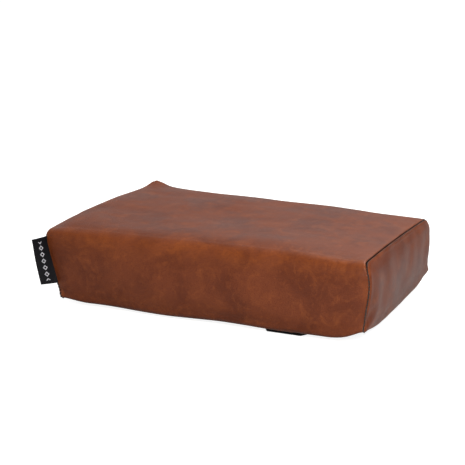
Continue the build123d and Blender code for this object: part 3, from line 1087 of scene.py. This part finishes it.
# ---- label --------------------------------------------------------------------------------
LABEL_PLY = 0.3
LABEL_TURN = math.radians(15)
LABEL_FLARE = math.radians(24)
LABEL_CURL = math.radians(4)
LABEL_HEIGHTS = (16.6, 59.0)
LABEL_REACH, LABEL_TUCK = 13.9, 3.6  # outside the seam, and sewn into it
LABEL_HALF_GAP = 0.4  # half the gap between the two folded sides


def label_shape():
    """A folded ribbon whose root lies in the front left seam, flaring towards its foot."""
    low, high = LABEL_HEIGHTS
    reach, half = LABEL_REACH, LABEL_HALF_GAP
    out = np.linspace(-LABEL_TUCK, reach, 22)
    angle = np.radians(np.linspace(90, -90, 9))[1:-1]
    across = np.concatenate([np.full(len(out), half), half * np.sin(angle), np.full(len(out), -half)])
    out = np.concatenate([out, reach + half * np.cos(angle), out[::-1]])
    height = np.linspace(low, high, 34)
    r, h = np.meshgrid(out, height)
    t = np.broadcast_to(across[None], r.shape)
    foot = (high - h) / (high - low)
    turn = LABEL_TURN + LABEL_FLARE * foot + LABEL_CURL * (r / reach) ** 2 * np.sign(r)
    root = settle(xyz(-SIDE_SEAM, -HALF_Y + 0.2, h))
    ripple = 0.22 * np.sin(h / 6.3 + 1.0) * smooth_step(r / reach)
    x = root[..., 0] - np.sin(turn) * r - np.cos(turn) * (t + ripple)
    y = root[..., 1] - np.cos(turn) * r + np.sin(turn) * (t + ripple)
    ribbon = skin_object("label_ribbon", xyz(x, y, h), grid_faces(*r.shape), LABEL_PLY)
    cut = xyz(r * MM, (h - low) * MM, 0).reshape(-1, 3)
    add_attribute(ribbon, "cut", np.vstack([cut, cut]))
    return ribbon


label = place(label_shape(), None, woven_label, ["label"], "woven_label")
hinge, hinge_axis = joint_mm("label_flex")
label_way = Vector((-0.38, -0.92, 0)) * MM  # a millimetre out along the tab
label_way -= label_way.project(Vector(hinge_axis))
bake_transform(label)


# ---- straps -------------------------------------------------------------------------------
WEB = 1.5
TAPER = 14.0
TIP_SHARE = 0.64
FOLD_RADIUS = 2.2


def web_shape(side):
    """One piece of webbing: its sewn root, the fold, and the free tail with a tapered tip."""
    root_low, root_high = box_mm("strap_" + side + "_root")
    tail_low, tail_high = box_mm("strap_" + side + "_tail")
    middle, half = (tail_low[0] + tail_high[0]) / 2, (tail_high[0] - tail_low[0]) / 2
    fold_y = root_high[1] - FOLD_RADIUS
    fold_z = root_high[2] - FOLD_RADIUS
    angle = np.radians(np.linspace(90, -90, 15))
    root = [(y, root_high[2]) for y in np.arange(root_low[1], fold_y, 1.2)]
    fold = [(fold_y + FOLD_RADIUS * math.cos(a), fold_z + FOLD_RADIUS * math.sin(a)) for a in angle]
    tail = [(y, tail_low[2]) for y in np.linspace(fold_y, tail_low[1], 150)[1:]]
    path = np.array(root + fold + tail)
    along = np.concatenate([[0], np.cumsum(np.linalg.norm(np.diff(path, axis=0), axis=1))])
    from_tip = along[-1] - along
    wide = half * (TIP_SHARE + (1 - TIP_SHARE) * np.clip(from_tip / TAPER, 0, 1))
    u = np.sin(np.linspace(-1, 1, 61) * math.pi / 2) * 0.55 + np.linspace(-1, 1, 61) * 0.45
    x = middle + wide[:, None] * u[None]
    normal = np.gradient(path, axis=0)
    normal = np.stack([-normal[:, 1], normal[:, 0]], 1) / np.linalg.norm(normal, axis=1)[:, None]
    edge = half * (1 - np.abs(u))
    inset = 0.28 * np.exp(-((edge / 0.5) ** 2))
    rib = 0.05 * np.cos(2 * math.pi * along / 2.4)[:, None] * smooth_step(edge / 1.5)[None]
    inset = inset[None] + rib + 0.05
    y = path[:, 0][:, None] - normal[:, 0][:, None] * inset
    z = path[:, 1][:, None] - normal[:, 1][:, None] * inset
    return skin_object("strap_" + side + "_web", xyz(x, y, z), grid_faces(*x.shape), WEB - 0.15)


def loop_shape(side):
    """The napped loop strip, pulled down a little along its sewn edges."""
    low, high = box_mm("strap_" + side + "_loop")
    grid_x, grid_y = flat_grid(low, high, 72, 220)
    from_side = np.minimum(grid_x - low[0], high[0] - grid_x)
    edge = np.minimum(from_side, np.minimum(grid_y - low[1], high[1] - grid_y))
    nap = 0.09 * waves(xyz(grid_x, grid_y, 0), 0.9, 51, count=24)
    sunk = 0.35 * np.exp(-(((edge - 1.4) / 0.8) ** 2)) + 0.5 * np.exp(-((edge / 0.35) ** 2))
    z = low[2] + 0.12 + sunk + np.clip(nap, -0.12, 0.2) * smooth_step(edge / 2)
    faces = flipped(grid_faces(*grid_x.shape))
    return skin_object("strap_" + side + "_loop_tape", xyz(grid_x, grid_y, z), faces, 1.1)


def hook_shape(side):
    """The hook patch: a thin backing and rows of small bent hooks."""
    low, high = box_mm("strap_" + side + "_hook")
    grid_x, grid_y = flat_grid(low, high, 30, 40)
    backing = thicken(xyz(grid_x, grid_y, low[2] + 0.45), grid_faces(*grid_x.shape), 0.5)
    turn = np.radians(np.linspace(0, 200, 6))
    stem = np.array([[0, 0.0], [0, 0.25]])
    bow = np.stack([0.18 - 0.18 * np.cos(turn), 0.25 + 0.18 * np.sin(turn)], 1)[1:]
    hook = np.vstack([stem, bow])
    hooks = [backing]
    for row, start in enumerate(np.arange(low[1] + 1.5, high[1] - 1, 1.5)):
        for column, across in enumerate(np.arange(low[0] + 1.5, high[0] - 1, 1.5)):
            way = 1 if (row + column) % 2 else -1
            path = xyz(across, start + way * hook[:, 0], low[2] + 0.42 + hook[:, 1])
            hooks.append(sweep(path, 0.13, sides=4, hint=(1, 0, 0)))
    return mesh_object("strap_" + side + "_hooks", *joined(hooks))


def strap_stitching(side):
    """Rows round the loop strip, and a box with a cross on the root of the webbing."""
    low, high = box_mm("strap_" + side + "_loop")
    root_low, root_high = box_mm("strap_" + side + "_root")
    inset, pitch = 1.4, 2.6
    rows = []
    for x in (low[0] + inset, high[0] - inset):
        y = np.arange(low[1] + inset, high[1] - inset, pitch)
        rows.append(xyz(x, y, low[2] + 0.42))
    for y in (low[1] + inset, high[1] - inset):
        x = np.arange(low[0] + inset + pitch, high[0] - inset - 1, pitch)
        rows.append(xyz(x, y, low[2] + 0.42))
    front, back = root_low[1] + 1.2, root_high[1] - FOLD_RADIUS - 0.6
    level = root_high[2] - WEB + 0.05
    corners = [(low[0] + 2, front), (high[0] - 2, front), (high[0] - 2, back), (low[0] + 2, back)]
    pairs = [(0, 1), (1, 2), (2, 3), (3, 0), (0, 2), (1, 3)]
    for a, b in pairs:
        start, end = np.array(corners[a]), np.array(corners[b])
        count = max(2, round(np.linalg.norm(end - start) / pitch))
        t = (np.arange(count) + 0.5) / count
        line = start + (end - start) * t[:, None]
        rows.append(xyz(line[:, 0], line[:, 1], level))
    made = [stitches(row, (0, 0, -1), *STRAP_STITCH) for row in rows]
    return mesh_object("strap_" + side + "_stitches", *joined(made))


for side in ("left", "right"):
    tail = "strap_" + side + "_tail"
    name = "strap_" + side
    web = place(web_shape(side), None, webbing, [name + "_root", tail], "webbing")
    hinge, _ = joint_mm(name + "_peel")
    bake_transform(web)
    place(loop_shape(side), "pad", loop_tape, [name + "_loop"], "loop_tape")
    place(hook_shape(side), tail, hook_tape, [name + "_hook"], "hook_tape")
    place(strap_stitching(side), "pad", black_thread, [name + "_stitching"], "black_thread")


# ---- zip ----------------------------------------------------------------------------------
COIL_PITCH = 1.25
COIL_WIRE = 0.28


def zip_shifted(points):
    """Moves a zip's points along the pad with its settled ends, and keeps the chain straight."""
    at = np.array(points, float)
    at[..., 1], at[..., 2] = HALF_Y, ZIP_Z
    return points + (settle(at) - at) * [1, 0, 0]


def tape_shape(name, node, toward_chain):
    """A zip tape with a raised cord edge beside its coil."""
    low, high = box_mm(node)
    x = np.linspace(low[0], high[0], 160)
    z = np.linspace(low[2], high[2], 23)
    grid_x, grid_z = np.meshgrid(x, z)
    from_chain = np.abs(grid_z - (low[2] if toward_chain < 0 else high[2]))
    ribs = 0.05 * np.cos(from_chain * 2 * math.pi / 1.5) * smooth_step((5 - from_chain) / 3)
    y = high[1] - 0.05 + ribs - 0.25 * smooth_step((from_chain - 5) / 8)
    y = y - 0.12 * waves(xyz(grid_x, y, grid_z), 30, 61) * smooth_step((from_chain - 3) / 4)
    faces = flipped(grid_faces(*grid_x.shape))
    return skin_object(name, zip_shifted(xyz(grid_x, y, grid_z)), faces, 0.6)


def coil_shape(name, node, upward, phase):
    """A nylon coil: a flattened helix whose heads reach past the middle of the zip."""
    low, high = box_mm(node)
    turns = math.floor((high[0] - low[0] - 2 * COIL_WIRE) / COIL_PITCH - abs(phase))
    angle = np.linspace(0, turns, turns * 10 + 1) * 2 * math.pi
    x = low[0] + COIL_WIRE + (angle / (2 * math.pi) + phase) * COIL_PITCH
    reach = (abs((high if upward > 0 else low)[2] - ZIP_Z) - COIL_WIRE - 0.05) / 2
    z = ZIP_Z + upward * (0.05 + reach - reach * np.cos(angle))
    y = (low[1] + high[1]) / 2 + ((high[1] - low[1]) / 2 - COIL_WIRE) * np.sin(angle)
    return mesh_object(name, *sweep(zip_shifted(xyz(x, y, z)), COIL_WIRE, sides=6, hint=(1, 0, 0.01)))


for side, toward_chain in (("upper", -1), ("lower", 1)):
    node = "zip_tape_" + side
    place(tape_shape("zip_" + side + "_tape", node, toward_chain), "pad", zip_cloth, [node], "zip_tape")
for side, upward, phase in (("upper", 1, 0.0), ("lower", -1, 0.5)):
    node = "zip_coil_" + side
    place(coil_shape("zip_" + side + "_coil", node, upward, phase), "pad", zip_nylon, [node], "zip_coil")
for node in ("zip_slider", "zip_pull"):
    metal_part = bpy.data.objects[node]
    metal_part.data.materials.clear()
    metal_part.data.materials.append(zip_metal)


def zip_topstitching():
    """A row of stitches on each side of the zip's slot."""
    low, high = box_mm("zip_tape_upper")
    x = np.arange(low[0] + 4, high[0] - 3, STITCH_PITCH)
    rows = []
    for z in (SLOT_LOW - 4, SLOT_HIGH + 4):
        rows.append(stitches(zip_shifted(xyz(x, HALF_Y + 0.15, z)), (0, 1, 0), *ZIP_STITCH))
    return mesh_object("zip_topstitches", *joined(rows))


place(zip_topstitching(), "pad", brown_thread, [], "thread")


# ---- floor, light and camera --------------------------------------------------------------
FLOOR_GLOW = 0.9  # how bright the floor looks by itself, to the camera only
FLOOR_DROP = 0.02
FLOOR_HALF = 12000.0
HORIZON_SINE = 0.3  # below this sine of elevation the world is as bright as the horizon
HORIZON_LIGHT, OVERHEAD_LIGHT, RIGHT_LIGHT = 0.6, 0.25, 0.35
SIDE_BAND = 0.3  # sine over which the left side of the world turns to the right


def floor_material():
    """Plain matt white paper, with the faintest unevenness, and plain white to look at."""
    n = Nodes("floor_paper")
    tone = n.noise(n.place(), 3, 3)
    shade = n.mix(n.remap(tone, 0.3, 0.7), rgb(190, 190, 190), rgb(194, 194, 194))
    glow = n.times(n.node("LightPath").outputs["Is Camera Ray"], FLOOR_GLOW)
    n.tree.links.new(glow, n.shader.inputs["Emission Strength"])
    return n.finish(shade, n.remap(tone, 0.3, 0.7, 0.85, 0.95), None, Specular_IOR_Level=0.2,
                    Emission_Color=rgb(255, 255, 255))


floor_level = cad_bounds[0][2] / MM - FLOOR_DROP
signs = ((-1, -1), (1, -1), (1, 1), (-1, 1))
floor_corners = [(x * FLOOR_HALF, y * FLOOR_HALF, floor_level) for x, y in signs]
floor = mesh_object("floor", floor_corners, [(0, 1, 2, 3)], smooth=False)
floor.data.materials.append(floor_material())


def soft_light(name, place_mm, size_mm, watts, colour, target_mm=(0, 0, 30)):
    """A square soft light that faces the target."""
    data = bpy.data.lights.new(name, "AREA")
    data.shape = "SQUARE"
    data.size = size_mm * MM
    data.energy = watts
    data.color = colour
    obj = bpy.data.objects.new(name, data)
    bpy.context.scene.collection.objects.link(obj)
    obj.location = Vector(place_mm) * MM
    way = (Vector(target_mm) - Vector(place_mm)).normalized()
    obj.rotation_euler = way.to_track_quat("-Z", "Y").to_euler()


soft_light("key", (560, -760, 640), 420, 11.5, (1.0, 0.98, 0.95))
soft_light("back", (250, 450, 950), 700, 11.0, (1.0, 0.99, 0.98))


def studio_world():
    """Light from all round: brighter low down and on the left, and plain white to look at."""
    world = bpy.data.worlds.new("studio")
    world.use_nodes = True
    tree = world.node_tree
    background = tree.nodes["Background"]
    direction = tree.nodes.new("ShaderNodeTexCoord")
    axes = tree.nodes.new("ShaderNodeSeparateXYZ")
    height = tree.nodes.new("ShaderNodeMapRange")
    turn = tree.nodes.new("ShaderNodeMapRange")
    both = tree.nodes.new("ShaderNodeMath")
    both.operation = "MULTIPLY"
    ray = tree.nodes.new("ShaderNodeLightPath")
    strength = tree.nodes.new("ShaderNodeMix")
    for number, value in ((1, HORIZON_SINE), (2, 1.0), (3, HORIZON_LIGHT), (4, OVERHEAD_LIGHT)):
        height.inputs[number].default_value = value
    tree.links.new(direction.outputs["Generated"], axes.inputs[0])
    tree.links.new(axes.outputs[2], height.inputs[0])
    tree.links.new(ray.outputs["Is Camera Ray"], strength.inputs[0])
    for number, value in ((1, -SIDE_BAND), (2, SIDE_BAND), (3, 1.0), (4, RIGHT_LIGHT)):
        turn.inputs[number].default_value = value
    tree.links.new(axes.outputs[0], turn.inputs[0])
    tree.links.new(height.outputs[0], both.inputs[0])
    tree.links.new(turn.outputs[0], both.inputs[1])
    tree.links.new(both.outputs[0], strength.inputs[2])
    strength.inputs[3].default_value = 1.0
    tree.links.new(strength.outputs[0], background.inputs["Strength"])
    background.inputs["Color"].default_value = (1.0, 1.0, 1.0, 1.0)
    return world


bpy.context.scene.world = studio_world()
bpy.context.scene.view_settings.view_transform = "Standard"

CAMERA_TURN, CAMERA_RISE = math.radians(23.37), math.radians(16.0)
CAMERA_AWAY = 1260.0
SENSOR = 36.0
LENS = 105.12774
CAMERA_CENTRE = 30.0  # height of the point that the camera turns about
AIM_LEFT, AIM_UP = 12.2483, 24.1255  # how far from that point it aims, in millimetres at the pad


def add_camera():
    """The camera, aimed a little off the pad's middle so that the pad sits low in the frame."""
    centre = Vector((0, 0, CAMERA_CENTRE))
    back = Vector((
        math.sin(CAMERA_TURN) * math.cos(CAMERA_RISE),
        -math.cos(CAMERA_TURN) * math.cos(CAMERA_RISE),
        math.sin(CAMERA_RISE),
    ))
    right = Vector((math.cos(CAMERA_TURN), math.sin(CAMERA_TURN), 0))
    up = back.cross(right)
    aim = centre - right * AIM_LEFT + up * AIM_UP
    place_mm = centre + back * CAMERA_AWAY
    data = bpy.data.cameras.new("camera")
    data.sensor_width = SENSOR
    data.lens = LENS
    data.clip_start, data.clip_end = 0.01, 50
    obj = bpy.data.objects.new("camera", data)
    obj.location = place_mm * MM
    obj.rotation_euler = (aim - place_mm).to_track_quat("-Z", "Y").to_euler()
    bpy.context.scene.collection.objects.link(obj)
    bpy.context.scene.camera = obj


add_camera()
